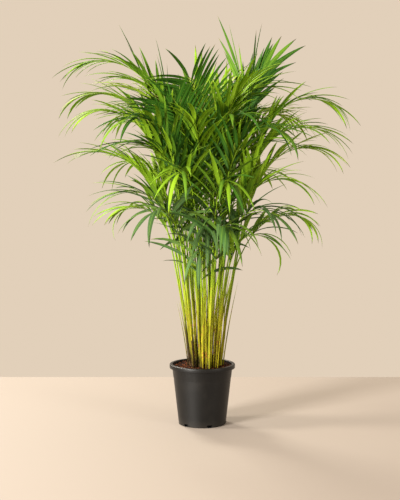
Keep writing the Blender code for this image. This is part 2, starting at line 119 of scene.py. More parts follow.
# Canes
CLUMP_RADIUS = 0.048
CLUMP_MIDDLE = 0.0068
GOLDEN_ANGLE = 137.5
CANE_SHIFT = 0.002
CANE_FOOT = 0.135
CANE_FOOT_RADIUS = 0.0046
CANE_TOP_RADIUS = 0.0036
CANE_LEAN = 0.12
CANE_LEAN_SPREAD = 0.01
CANE_TOP = 0.40
CANE_BEADS = 40
CANE_STEP = 0.0025
CANE_SIDES = 12
RING_SPACING = 0.045
RING_SWELL = 0.0008
SHEATH_HEIGHTS = (0.388, 0.32, 0.26)

# Dry fibres and slim shoots round the foot of each cane
FIBRES = 9
FIBRES_LEAST = 3
FIBRES_TO_THE_LEFT = 170
FIBRE_RING = 0.0050
FIBRE_SINK = 0.004
FIBRE_LENGTH = 0.050
FIBRE_WIDTH = 0.0022
FIBRE_THICKNESS = 0.0006
FIBRE_LEAN = 0.20
FIBRE_STEPS = 7
SHOOTS = 3
SHOOT_RING = 0.0080
SHOOT_LENGTH = 0.340
SHOOT_WIDTH = 0.0040
SHOOT_LEAN = 0.10

# The least and the most drawn for each fibre or shoot, as shares of its set's own value
FIBRE_LENGTHS = (0.35, 1.20)
FIBRE_WIDTHS = (0.6, 1.3)
FIBRE_LEANS = (0.1, 1.0)
FIBRE_SWAYS = (-0.8, 0.8)

# Fronds
STALK_RADIUS = 0.0030
STALK_TIP_RADIUS = 0.0015
STALK_TIP_FINENESS = 0.6
STALK_TAPER = 0.8
STALK_SIDES = 10
STALK_END = 0.0015
STALK_POINT = 0.45
STALK_POINT_START = 0.97
STALK_LIFTS = (0.54, 0.46, 0.61)
STALK_SWAYS = (0, 2, -2, 4, -4, 6, -6, 8, -8, 11, -11, 14, -14)
STALK_TRIES = [(lift, sway) for lift in STALK_LIFTS for sway in STALK_SWAYS]
STALK_PULL = 0.30
STALK_SPREAD = 0.22
STALK_CLEARANCE = 0.0022
STALK_STEPS = 60
BARE_RINGS = 3
LEAFY_RINGS = 3
LEAFY_SHARE = 0.47
BEAD_STEP = 0.005
SHARED_LENGTH = 0.34
SEED = 7

# Leaflets: the least and the most drawn, in degrees, as shares, and in radians for the twist
FORWARD_DRAWN = (-7.0, 7.0)
RAISED_DRAWN = (-8.0, 8.0)
DROOP_DRAWN = (-0.40, 0.45)
LENGTH_DRAWN = (0.90, 1.06)
WIDTH_DRAWN = (0.88, 1.12)
TWIST_DRAWN = (-0.55, 0.55)
RAISED_FALL = 12.0
DROOP_LEAST = 0.15
STEEP = 0.15
FIRST_LENGTH = 0.72
SHORTER_FROM = 0.35
LEAST_WIDTH = 0.62

# A leaflet's blade: its half thickness at the root, and shares of its length and width
BLADE_STEPS = 8
BLADE_THICKNESS = 0.00028
BLADE_THINNING = 0.6
BLADE_FOLD = 0.30
BLADE_ROOT = 0.22
BLADE_FLARE = 3.2
BLADE_NARROWS_FROM = 0.30
BLADE_POINT = 2.2
BLADE_MARGIN = 0.9

# Kinds of frond
FEATHER = "feather"
YOUNG = "young"
SPEAR = "spear"
FRESH = "fresh"
PLUME = "plume"

Frond = namedtuple("Frond", "turn reach height pitch roll kind", defaults=(0, FEATHER))

# leafy is how much of the stalk carries leaflets. first and last are the angles of the
# lowest and the highest leaflets to the stalk, and taper how much they shorten. dark and
# bright are the ends of the frond's range of greens. facing is how far its leaflets turn to
# show their upper face, and loose how loosely they stand.
Habit = namedtuple("Habit", "leafy pairs length width first last raised droop taper dark bright facing loose")
HABITS = {
    FEATHER: Habit(0.400, 17, 0.195, 0.0130, 42, 16, 24, 58, 0.12, 0.25, 1.00, 0.0, 1.0),
    YOUNG: Habit(0.150, 7, 0.215, 0.0165, 48, 26, 30, 80, 0.30, 0.15, 0.55, 0.40, 1.0),
    SPEAR: Habit(0.150, 3, 0.185, 0.0130, 20, 8, 20, 22, 0.0, -0.65, -0.35, 0.90, 1.0),
    FRESH: Habit(0.270, 17, 0.185, 0.0105, 44, 36, 12, 34, 0.10, -0.20, 0.00, 0.95, 0.35),
    PLUME: Habit(0.270, 11, 0.170, 0.0160, 30, 12, 12, 26, 0.0, -0.65, -0.40, 0.90, 1.0),
}

# Painted light in the fronds' tone: how much brighter a frond at the back is painted, as if lit from behind,
# and darker one at the front, as shade; and how much darker one at the side is painted, as shade
PAINTED_BACKLIGHT = 0.60
PAINTED_SIDE_SHADE = 0.12

# One row of fronds for each cane. turn is where the frond points, in degrees seen from
# above: 0 is right, 90 back, 180 left and 270 front. reach and height are its tip's
# distance from the pot's axis and from the floor, and pitch is the stalk's slope there.
OUTER_FRONDS = (
    ((8, 0.383, 1.040, -11), (14, 0.353, 0.888, 1)),
    ((38, 0.338, 0.997, -6), (28, 0.208, 0.952, 19)),
    ((64, 0.200, 0.940, 20), (47, 0.288, 0.812, -3, 10)),
    ((72, 0.338, 1.032, -11), (80, 0.288, 0.872, -1)),
    ((108, 0.328, 0.972, -6), (100, 0.290, 0.820, -10, 0, YOUNG)),
    ((136, 0.348, 1.002, -9), (144, 0.288, 0.842, 1, -10)),
    ((168, 0.348, 1.062, 3), (150, 0.198, 0.962, 19), (160, 0.250, 0.690, -10, 0, YOUNG)),
    ((190, 0.318, 1.000, 1), (173, 0.313, 0.870, 11)),
    ((206, 0.220, 0.900, 5), (199, 0.243, 0.747, -5)),
    ((222, 0.278, 0.972, -5), (212, 0.180, 0.880, 20), (230, 0.230, 0.690, -18, 0, YOUNG)),
    ((254, 0.245, 0.810, -18), (266, 0.135, 0.565, -50, 0, YOUNG)),
    ((288, 0.250, 0.780, -20), (292, 0.210, 0.640, -24, 0, YOUNG), (276, 0.110, 0.640, -40, 0, YOUNG)),
    ((316, 0.278, 0.942, -5), (322, 0.250, 0.690, -16, 0, YOUNG)),
    ((334, 0.200, 0.900, 15), (343, 0.263, 0.787, -3), (338, 0.200, 0.610, -16, 0, YOUNG)),
    ((350, 0.343, 0.947, -7), (356, 0.290, 0.672, -6, 0, YOUNG)),
)
INNER_FRONDS = (
    ((2, 0.180, 1.080, 18, -40), (350, 0.160, 1.095, 86, 0, SPEAR), (330, 0.120, 1.020, 60)),
    ((20, 0.215, 1.135, 50, -60, PLUME), (30, 0.135, 1.130, 112, 0, SPEAR), (20, 0.248, 1.012, 14)),
    ((66, 0.230, 1.060, 15), (60, 0.110, 1.080, 55)),
    ((122, 0.248, 1.092, 14), (112, 0.090, 1.060, 84, 0, SPEAR), (92, 0.180, 1.100, 35)),
    ((158, 0.228, 1.072, 24), (176, 0.185, 1.100, 70, 0, SPEAR), (140, 0.160, 1.040, 45)),
    ((184, 0.328, 1.157, -1), (172, 0.220, 1.100, 25)),
    ((214, 0.208, 1.012, 14), (196, 0.116, 1.040, 84, 0, SPEAR), (220, 0.130, 0.980, 60)),
    ((243, 0.090, 1.100, 38, -35, FRESH), (236, 0.165, 1.010, 44, -20, FRESH), (262, 0.150, 0.960, 40, 10)),
    ((318, 0.170, 1.070, 42), (300, 0.198, 0.982, 14), (304, 0.130, 0.660, -40, 0, YOUNG)),
)

# Camera and floor, worked out from the photograph's view of the pot and the floor's far edge
CAMERA_PLACE = (-0.0074, -3.50, 0.83)
CAMERA_TILT = -4.39
CAMERA_LENS = 79.06
FLOOR_REACH = 0.98
FLOOR_BACK = 0.775

# Each lamp's place, the point it is aimed at, its width, power and tint
LAMPS = {
    "key": ((-6.6, -0.45, 4.8), (0.0, 0.0, 0.6), 1.6, 520.0, (1.0, 0.94, 0.84)),
    "front": ((-6.4, -6.6, 2.3), (0.0, 0.0, 0.8), 2.4, 2750.0, (1.0, 0.96, 0.90)),
    "fill": ((5.2, -4.6, 2.2), (0.0, 0.0, 0.5), 2.4, 230.0, (1.0, 0.96, 0.90)),
    "back": ((-1.5, 2.4, 2.6), (0.0, 0.0, 0.9), 0.9, 120.0, (1.0, 0.94, 0.82)),
}

# Finishes: heights in metres, shares of a blade, reliefs as strength and depth, and pattern
# scales. A pair of scales is sideways and upward.
LEAF_PATCHES = 9.0
LEAF_VEINS = 46.0
LEAF_RELIEF = (0.05, 0.0004)
LEAF_SPECULAR = 0.20
PAINTED_SHEEN_HEIGHTS = (0.95, 0.70)
MIDRIB_EDGE = (0.16, 0.02)
DRY_TIP = (0.97, 1.06)
STALK_STREAKS = (70.0, 3.0)
CREASE_SHADE_SCALES = (190.0, 4.0)
STALK_SPOTS = 60.0
STALK_RELIEF = (0.35, 0.0006)
STALK_SPECULAR = 0.12
GREEN_HEIGHTS = (0.36, 0.66)
RUST_HEIGHTS = (0.62, 0.24)
FOOT_HEIGHTS = (0.29, 0.21)
FIBRE_SHADES = 90.0
FIBRE_ROUGHNESS = 0.85
FIBRE_SPECULAR = 0.10
SOIL_CLUMPS = 110.0
SOIL_GRAINS = 420.0
SOIL_RELIEF = (0.8, 0.002)
SOIL_SPECULAR = 0.08
POT_GRAIN = 900.0
POT_CLOUDS = 14.0
POT_SCUFFS = (160.0, 9.0)
POT_RELIEF = (0.08, 0.0003)
POT_SPECULAR = 0.30
DUST_HEIGHT = 0.03
# How far in from the pot's foot the painted shade inside the drain notches begins, and where it is full
NOTCH_SHADE_DEPTHS = (0.0008, 0.0024)
FLOOR_ROUGHNESS = 0.7
FLOOR_SPECULAR = 0.5

# Colours: red, green, blue and cover
LEAF_DARK = (0.018, 0.078, 0.003, 1.0)
LEAF_GREEN = (0.250, 0.435, 0.013, 1.0)
LEAF_BRIGHT = (0.440, 0.565, 0.055, 1.0)
LEAF_PAINTED_SHEEN = (0.075, 0.125, 0.048, 1.0)
LEAF_MIDRIB = (0.240, 0.380, 0.030, 1.0)
LEAF_TIP = (0.200, 0.150, 0.045, 1.0)
LEAF_LIT_THROUGH = (0.285, 0.430, 0.012, 1.0)
STALK_OLIVE = (0.125, 0.128, 0.004, 1.0)
STALK_GOLD = (0.305, 0.262, 0.010, 1.0)
STALK_MOSS = (0.120, 0.165, 0.006, 1.0)
STALK_GREEN = (0.095, 0.190, 0.005, 1.0)
STALK_LIME = (0.215, 0.325, 0.009, 1.0)
STALK_RUST = (0.240, 0.085, 0.020, 1.0)
STALK_CREASE_SHADE = (0.030, 0.040, 0.003, 1.0)
STALK_FOOT_DARK = (0.008, 0.004, 0.002, 1.0)
STALK_FOOT_BROWN = (0.042, 0.022, 0.010, 1.0)
FIBRE_DARK = (0.010, 0.006, 0.003, 1.0)
FIBRE_BROWN = (0.110, 0.062, 0.028, 1.0)
SOIL_DARK_AND_SHADE = (0.005, 0.002, 0.001, 1.0)
SOIL_BROWN = (0.076, 0.020, 0.006, 1.0)
SOIL_GRAIN = (0.135, 0.039, 0.011, 1.0)
CHIP_PALE = (0.240, 0.070, 0.018, 1.0)
CHIP_SHADE = (0.004, 0.002, 0.001, 1.0)
POT_CHARCOAL = (0.0014, 0.0013, 0.0011, 1.0)
POT_SCUFF = (0.0048, 0.0043, 0.0037, 1.0)
POT_DUST = (0.070, 0.058, 0.046, 1.0)
DRAIN_SHADE = (0.001, 0.001, 0.001, 1.0)
FLOOR_PALE = (0.298, 0.254, 0.218, 1.0)
BACKDROP = (0.76, 0.63, 0.49, 1.0)


def both_ways(operation):
    """The methods of an operator that adds a Math node, with the socket first and last."""

    def first(self, other):
        return self.graph.math(operation, self, other)

    def last(self, other):
        return self.graph.math(operation, other, self)

    return first, last


class Value:
    """One socket of a node tree. Arithmetic on it adds Math nodes."""

    def __init__(self, graph, socket):
        self.graph = graph
        self.socket = socket

    __add__, __radd__ = both_ways("ADD")
    __sub__, __rsub__ = both_ways("SUBTRACT")
    __mul__, __rmul__ = both_ways("MULTIPLY")
    __truediv__, __rtruediv__ = both_ways("DIVIDE")
    __pow__ = both_ways("POWER")[0]
    __gt__ = both_ways("GREATER_THAN")[0]
    __lt__ = both_ways("LESS_THAN")[0]


class Arrow(Value):
    """A vector socket. Arithmetic on it adds Vector Math nodes."""

    def __add__(self, other):
        return self.graph.vector("ADD", self, other)

    def __sub__(self, other):
        return self.graph.vector("SUBTRACT", self, other)

    def __mul__(self, number):
        return self.graph.vector("SCALE", self, scale=number)

    def dot(self, other):
        """The dot product."""
        return self.graph.vector("DOT_PRODUCT", self, other)

    def cross(self, other):
        """The cross product."""
        return self.graph.vector("CROSS_PRODUCT", self, other)

    def unit(self):
        """The same direction at length one."""
        return self.graph.vector("NORMALIZE", self)

    def length(self):
        """The vector's length."""
        return self.graph.vector("LENGTH", self)

    def parts(self):
        """The three components."""
        node = self.graph.add("ShaderNodeSeparateXYZ", links={"Vector": self})
        return [Value(self.graph, output) for output in node.outputs]


class Graph:
    """Adds nodes to one tree and joins them."""

    def __init__(self, tree):
        self.tree = tree
        tree.nodes.clear()

    def add(self, kind, settings=None, links=None):
        """One node: its settings first, then the values or links of its inputs."""
        node = self.tree.nodes.new(kind)
        for name, value in (settings or {}).items():
            setattr(node, name, value)
        for name, value in (links or {}).items():
            if isinstance(name, int):
                socket = node.inputs[name]
            else:
                socket = next(s for s in node.inputs if s.name == name and s.enabled)
            if isinstance(value, Value):
                self.tree.links.new(value.socket, socket)
            else:
                socket.default_value = value
        return node

    def get(self, kind, settings=None, links=None, output=None, arrow=False):
        """An output of a new node: the one named, or the first in use."""
        node = self.add(kind, settings, links)
        socket = next(s for s in node.outputs if s.enabled and output in (None, s.name))
        return (Arrow if arrow else Value)(self, socket)

    def math(self, operation, *numbers):
        """A Math node's result."""
        return self.get("ShaderNodeMath", {"operation": operation}, dict(enumerate(numbers)))

    def vector(self, operation, *arrows, scale=None):
        """A Vector Math node's result."""
        links = dict(enumerate(arrows))
        if scale is not None:
            links["Scale"] = scale
        arrow = operation not in ("DOT_PRODUCT", "LENGTH")
        output = "Vector" if arrow else "Value"
        return self.get("ShaderNodeVectorMath", {"operation": operation}, links, output, arrow)

    def ramp(self, value, low, high):
        """0 up to low and 1 past high, with a smooth step between. High may be the lesser."""
        settings = {"interpolation_type": "SMOOTHSTEP"}
        return self.get("ShaderNodeMapRange", settings, {"Value": value, "From Min": low, "From Max": high})


class Finish(Graph):
    """A material and its nodes."""

    def __init__(self, name):
        self.material = bpy.data.materials.new(name)
        self.material.use_nodes = True
        super().__init__(self.material.node_tree)

    def place(self):
        """Object coordinates."""
        return self.get("ShaderNodeTexCoord", output="Object", arrow=True)

    def attribute(self, name, arrow=False):
        """What the shape keeps under a name."""
        output = "Vector" if arrow else "Fac"
        return self.get("ShaderNodeAttribute", {"attribute_name": name}, None, output, arrow)

    def stretched(self, place, sideways, upward):
        """Coordinates with one scale sideways and another upward."""
        links = {"Vector": place, "Scale": (sideways, sideways, upward)}
        return self.get("ShaderNodeMapping", links=links, arrow=True)

    def noise(self, place, scale, detail, roughness=0.55):
        """Noise from 0 to 1."""
        links = {"Vector": place, "Scale": scale, "Detail": detail, "Roughness": roughness}
        return self.get("ShaderNodeTexNoise", links=links)

    def mix(self, factor, first, second):
        """One colour turned into another."""
        return self.get("ShaderNodeMix", {"data_type": "RGBA"}, {"Factor": factor, "A": first, "B": second})

    def bump(self, height, strength, distance):
        """Fine relief."""
        links = {"Strength": strength, "Distance": distance, "Height": height}
        return self.get("ShaderNodeBump", links=links)

    def surface(self, base, roughness, specular, bump=None):
        """A Principled shader."""
        links = {"Base Color": base, "Roughness": roughness, "Specular IOR Level": specular}
        if bump is not None:
            links["Normal"] = bump
        return self.get("ShaderNodeBsdfPrincipled", links=links)

    def made(self, surface):
        """The material, with its surface joined to the output."""
        self.add("ShaderNodeOutputMaterial", links={"Surface": surface})
        return self.material


def leaf_material():
    """Thin leaf: green by frond and leaflet, with painted back light and side shade by frond and a painted
    grey sheen on darker fronds, lit through, with a pale midrib.
    """
    g = Finish("palm_leaf")
    across, _, along = g.attribute("blade", arrow=True).parts()
    tone = g.attribute("tone")
    frond_tone = g.attribute("frond_tone")
    place = g.place()
    patches = g.noise(place, LEAF_PATCHES, 2.0)
    # The frond tone carries the fronds' painted back light and side shade
    shade = frond_tone * 0.72 + tone * 0.50 + patches * 0.30 - 0.26
    green = g.mix(g.ramp(shade, 0.0, 0.5), LEAF_DARK, LEAF_GREEN)
    green = g.mix(g.ramp(shade, 0.45, 1.0), green, LEAF_BRIGHT)
    # Painted grey sheen on the darker fronds below the crown's top
    painted_sheen = g.ramp(frond_tone, 0.20, -0.30) * g.ramp(place.parts()[2], *PAINTED_SHEEN_HEIGHTS) * 0.55
    green = g.mix(painted_sheen, green, LEAF_PAINTED_SHEEN)
    midrib = g.ramp(g.math("ABSOLUTE", across), *MIDRIB_EDGE)
    green = g.mix(midrib * 0.35, green, LEAF_MIDRIB)
    tip = g.ramp(along + tone * 0.10, *DRY_TIP)
    green = g.mix(tip * 0.8, green, LEAF_TIP)
    veins = g.bump(g.math("SINE", across * LEAF_VEINS), *LEAF_RELIEF)
    surface = g.surface(green, 0.56 + patches * 0.20, LEAF_SPECULAR, veins)
    through = g.get("ShaderNodeBsdfTranslucent", links={"Color": LEAF_LIT_THROUGH})
    share = 0.20 + 0.30 * g.ramp(shade, 0.0, 0.8)
    return g.made(g.get("ShaderNodeMixShader", links={0: share, 1: surface, 2: through}))


def stalk_material():
    """Canes and stalks: gold and olive streaks below, green above, brown at the foot, and thin lines of
    painted shade.
    """
    g = Finish("palm_stalk")
    place = g.place()
    side, _, height = place.parts()
    # The frond tone, which on fronds also carries their painted back light and side shade
    tone = g.attribute("frond_tone")
    streaks = g.noise(g.stretched(place, *STALK_STREAKS), 1.0, 3.0)
    spots = g.noise(place, STALK_SPOTS, 2.0)
    gold = g.mix(g.ramp(streaks, 0.35, 0.62), STALK_OLIVE, STALK_GOLD)
    gold = g.mix(g.ramp(tone, 0.3, 0.9) * 0.5, gold, STALK_MOSS)
    green = g.mix(streaks, STALK_GREEN, STALK_LIME)
    body = g.mix(g.ramp(height + streaks * 0.20, *GREEN_HEIGHTS), gold, green)
    rust = g.ramp(spots + streaks * 0.5, 0.84, 0.98) * g.ramp(height, *RUST_HEIGHTS)
    body = g.mix(rust * 0.85, body, STALK_RUST)
    # Painted shade: thin dark lines along the stalks, standing in for shade in creases and between stems
    creases = g.math("ABSOLUTE", g.noise(g.stretched(place, *CREASE_SHADE_SCALES), 1.0, 1.0) - 0.5)
    body = g.mix(g.ramp(creases, 0.070, 0.015) * 0.38, body, STALK_CREASE_SHADE)
    foot = height - tone * tone * 0.08 + spots * 0.06 + streaks * 0.05 + side * 1.1
    brown = g.mix(streaks, STALK_FOOT_DARK, STALK_FOOT_BROWN)
    body = g.mix(g.ramp(foot, *FOOT_HEIGHTS) * 0.95, body, brown)
    return g.made(g.surface(body, 0.46 + spots * 0.25, STALK_SPECULAR, g.bump(streaks, *STALK_RELIEF)))


def fibre_material():
    """Dry, dark fibre of old leaf bases."""
    g = Finish("dry_fibre")
    shades = g.noise(g.place(), FIBRE_SHADES, 2.0)
    brown = g.mix(g.ramp(shades, 0.35, 0.70), FIBRE_DARK, FIBRE_BROWN)
    return g.made(g.surface(brown, FIBRE_ROUGHNESS, FIBRE_SPECULAR))


def soil_material():
    """Moist coir and bark: dark red-brown with paler chips, near-black patches and gaps painted as shade, and
    painted shade low down behind the drain notches.
    """
    g = Finish("potting_mix")
    place = g.place()
    clumps = g.noise(place, SOIL_CLUMPS, 5.0, 0.7)
    grains = g.noise(place, SOIL_GRAINS, 4.0, 0.7)
    tone = g.attribute("tone")
    # Near-black patches: dark moist mix, partly painted shade between clumps
    brown = g.mix(g.ramp(clumps, 0.3, 0.7), SOIL_DARK_AND_SHADE, SOIL_BROWN)
    brown = g.mix(g.ramp(grains, 0.55, 0.8) * 0.6, brown, SOIL_GRAIN)
    brown = g.mix(g.ramp(tone, 0.60, 0.95) * 0.7, brown, CHIP_PALE)
    # Painted shade: the ground between the chips and the chips of low tone are turned near black, as shade in
    # the gaps
    brown = g.mix(g.ramp(tone, 0.40, 0.10) * 0.7, brown, CHIP_SHADE)
    # Painted shade: the mix below the notches' depth, seen through them, is turned near black
    brown = g.mix(place.parts()[2] < DRAIN_DEPTH, brown, DRAIN_SHADE)
    relief = g.bump(grains + clumps, *SOIL_RELIEF)
    return g.made(g.surface(brown, 0.85 + clumps * 0.12, SOIL_SPECULAR, relief))


def pot_material():
    """Charcoal moulded plastic, with faint scuffs and dust, and painted shade inside the notches."""
    g = Finish("pot_plastic")
    place = g.place()
    x, y, height = place.parts()
    radius = g.math("SQRT", x * x + y * y)
    # Painted shade: near black, and fully rough, inside the drain notches
    inside = g.ramp(radius, *(POT_FOOT_RADIUS - depth for depth in NOTCH_SHADE_DEPTHS))
    inside = inside * (height < DRAIN_HEIGHT + DRAIN_MARGIN)
    grain = g.noise(place, POT_GRAIN, 2.0)
    cloud = g.noise(place, POT_CLOUDS, 4.0, 0.6)
    scuffs = g.noise(g.stretched(place, *POT_SCUFFS), 1.0, 5.0, 0.7)
    dust = g.ramp(height, DUST_HEIGHT, 0.0) * 0.10 + g.ramp(cloud, 0.5, 0.8) * 0.05
    base = g.mix(g.ramp(scuffs, 0.5, 0.8) * 0.35, POT_CHARCOAL, POT_SCUFF)
    base = g.mix(dust, base, POT_DUST)
    base = g.mix(inside, base, DRAIN_SHADE)
    rough = g.math("MINIMUM", 0.33 + cloud * 0.08 + scuffs * 0.08 + inside, 1.0)
    return g.made(g.surface(base, rough, POT_SPECULAR, g.bump(grain, *POT_RELIEF)))


def floor_material():
    """Plain pale floor."""
    g = Finish("pale_floor")
    return g.made(g.surface(FLOOR_PALE, FLOOR_ROUGHNESS, FLOOR_SPECULAR))


class Tree(Graph):
    """A Geometry Nodes tree with named inputs."""

    def __init__(self, name, **inputs):
        super().__init__(bpy.data.node_groups.new(name, "GeometryNodeTree"))
        face = self.tree.interface
        face.new_socket("Shape", in_out="OUTPUT", socket_type="NodeSocketGeometry")
        for kind, labels in inputs.items():
            for label in labels.split(", "):
                face.new_socket(label, in_out="INPUT", socket_type="NodeSocket" + kind)
        self.entry = self.tree.nodes.new("NodeGroupInput")

    def given(self, label, arrow=False):
        """One of the tree's inputs."""
        return (Arrow if arrow else Value)(self, self.entry.outputs[label])

    def between(self, first, last, share):
        """A value part of the way from one input to another."""
        return self.given(first) + (self.given(last) - self.given(first)) * share

    def random(self, low, high, salt):
        """A number drawn for each point, fixed by the tree's seed."""
        links = {"Min": low, "Max": high, "Seed": self.given("Seed") + salt}
        return self.get("FunctionNodeRandomValue", {"data_type": "FLOAT"}, links)

    def keep(self, shape, **values):
        """Store values on the shape's points."""
        for name, value in values.items():
            kind = "FLOAT_VECTOR" if isinstance(value, Arrow) else "FLOAT"
            settings = {"data_type": kind, "domain": "POINT"}
            links = {"Geometry": shape, "Name": name, "Value": value}
            shape = self.get("GeometryNodeStoreNamedAttribute", settings, links)
        return shape

    def kept(self, name, arrow=False):
        """Read a value that was stored."""
        kind = "FLOAT_VECTOR" if arrow else "FLOAT"
        return self.get("GeometryNodeInputNamedAttribute", {"data_type": kind}, {"Name": name}, arrow=arrow)

    def position(self):
        """Where each point is."""
        return self.get("GeometryNodeInputPosition", arrow=True)

    def arrow(self, **parts):
        """A vector from its parts."""
        return self.get("ShaderNodeCombineXYZ", links=parts, arrow=True)

    def tube(self, line, sides, radius):
        """A round rod along a line."""
        links = {"Resolution": sides, "Radius": 1.0}
        ring = self.get("GeometryNodeCurvePrimitiveCircle", {"mode": "RADIUS"}, links)
        links = {"Curve": line, "Profile Curve": ring, "Scale": radius, "Fill Caps": True}
        return self.get("GeometryNodeCurveToMesh", links=links)

    def strew(self, points, shape, **turns):
        """A copy of a shape on every point."""
        links = {"Points": points, "Instance": shape, **turns}
        copies = self.get("GeometryNodeInstanceOnPoints", links=links)
        return self.get("GeometryNodeRealizeInstances", links={"Geometry": copies})

    def blades(self, points, steps):
        """A four-sided cone on every point, which keeps its form for bending."""
        cone = self.get("GeometryNodeMeshCone", {"fill_type": "NGON"}, {
            "Vertices": 4, "Side Segments": steps, "Fill Segments": 1,
            "Radius Top": 0.0, "Radius Bottom": 1.0, "Depth": 1.0,
        })
        x, y, z = self.position().parts()
        taper = self.math("MAXIMUM", 1.0 - z, 0.0001)
        return self.strew(points, self.keep(cone, blade=self.arrow(X=x / taper, Y=y / taper, Z=z)))

    def put(self, shape, position):
        """Move a shape's points."""
        return self.get("GeometryNodeSetPosition", links={"Geometry": shape, "Position": position})

    def join(self, *shapes):
        """Several shapes as one."""
        node = self.add("GeometryNodeJoinGeometry")
        for shape in reversed(shapes):
            self.tree.links.new(shape.socket, node.inputs[0])
        return Value(self, node.outputs[0])

    def finish(self, shape, material):
        """Smooth the shape and give it its material."""
        smooth = self.get("GeometryNodeSetShadeSmooth", links={"Geometry": shape})
        links = {"Geometry": smooth, "Material": self.given(material)}
        return self.get("GeometryNodeSetMaterial", links=links)

    def end(self, shape):
        """The tree's result."""
        self.add("NodeGroupOutput", links={"Shape": shape})
        return self.tree


def radians(value):
    """Degrees to radians, on a socket."""
    return value * (math.pi / 180.0)


def frond_tree():
    """Grows one frond on a line: a tapered stalk, and leaflets in two rows."""
    t = Tree(
        "frond",
        Geometry="Line",
        Float="Stalk radius, Tip radius, Leafy length, Length, Width, First angle, Last angle, "
              "Raised, Droop, Taper, Roll, Facing, Looseness, Tone",
        Int="Leaflets, Seed",
        Vector="Side",
        Material="Stalk finish, Leaf finish",
    )
    line = t.get("GeometryNodeMeshToCurve", links={"Mesh": t.given("Line")})
    share = t.get("GeometryNodeSplineParameter", output="Factor")
    point = t.ramp(share, STALK_POINT_START, 1.0)
    radius = t.between("Stalk radius", "Tip radius", share) * (1.0 - STALK_POINT * point)
    stalk = t.finish(t.tube(line, STALK_SIDES, radius), "Stalk finish")
    blades = t.blades(leaflet_roots(t, line), BLADE_STEPS)
    leaves = t.finish(t.put(blades, leaflet_form(t)), "Leaf finish")
    margin = t.math("ABSOLUTE", t.kept("blade", True).parts()[0]) > BLADE_MARGIN
    leaves = t.get("GeometryNodeSetShadeSmooth", {"domain": "EDGE"}, {
        "Geometry": leaves, "Selection": margin, "Shade Smooth": False,
    })
    return t.end(t.keep(t.join(stalk, leaves), frond_tone=t.given("Tone")))


def leaflet_roots(t, line):
    """Points along a frond's leafy part that keep each leaflet's direction, arch and size."""
    length = t.get("GeometryNodeCurveLength", links={"Curve": line})
    ends = {"Start": 1.0 - (t.given("Leafy length") + STALK_END) / length, "End": 1.0 - STALK_END / length}
    leafy = t.get("GeometryNodeTrimCurve", {"mode": "FACTOR"}, {"Curve": line, **ends})
    count = t.given("Leaflets")
    points = t.get("GeometryNodeResampleCurve", {"mode": "COUNT"}, {"Curve": leafy, "Count": count})
    number = t.get("GeometryNodeInputIndex")
    last = number > count - 1.5
    place = number / (count - 1.0)
    hand = 2.0 * t.math("MODULO", number, 2.0) - 1.0

    # The stalk's direction and the two that span the leaflets' plane
    tangent = t.get("GeometryNodeInputTangent", arrow=True)
    flat_side = t.given("Side", arrow=True)
    side = (flat_side - tangent * flat_side.dot(tangent)).unit()
    roll = radians(t.given("Roll"))
    rolled = side * t.math("COSINE", roll) + side.cross(tangent) * t.math("SINE", roll)
    up = rolled.cross(tangent)

    # Each leaflet's direction, and the way it bends: downward, or back where it hangs
    loose = t.given("Looseness")
    spread = t.between("First angle", "Last angle", place)
    forward = radians(spread + loose * t.random(*FORWARD_DRAWN, 1)) * (1.0 - last)
    lift = t.given("Raised") - RAISED_FALL * place
    raised = radians(lift + loose * t.random(*RAISED_DRAWN, 2))
    across = rolled * (hand * t.math("COSINE", raised)) + up * t.math("SINE", raised)
    along = (tangent * t.math("COSINE", forward) + across * t.math("SINE", forward)).unit()
    down = t.arrow(Z=-1.0)
    sag = down - along * down.dot(along)
    back = along * up.dot(along) - up
    steep = sag.length() < STEEP
    bend = (sag * (1.0 - steep) + back * steep).unit()
    droop = radians(t.given("Droop")) * (1.0 + loose * t.random(*DROOP_DRAWN, 3))
    droop = droop * t.math("MINIMUM", sag.length(), 1.0)

    # Size: longest at the middle, shorter at the foot and the tip
    rise = FIRST_LENGTH + (1.0 - FIRST_LENGTH) * t.math("SINE", math.pi * t.math("MINIMUM", place, 0.5))
    fall = 1.0 - t.given("Taper") * t.math("MAXIMUM", place - SHORTER_FROM, 0.0) / (1.0 - SHORTER_FROM)
    face = t.math("ARCTAN2", up.dot(along.cross(bend)) * -1.0, up.dot(bend) * -1.0)
    return t.keep(
        points,
        root=t.position(),
        along=along,
        bend=bend,
        droop=t.math("MAXIMUM", droop, DROOP_LEAST),
        size=t.given("Length") * rise * fall * t.random(*LENGTH_DRAWN, 4),
        wide=t.given("Width") * (LEAST_WIDTH + (1.0 - LEAST_WIDTH) * fall) * t.random(*WIDTH_DRAWN, 5),
        twist=loose * t.random(*TWIST_DRAWN, 6),
        face=face * t.given("Facing"),
        tone=t.random(0.0, 1.0, 7),
    )


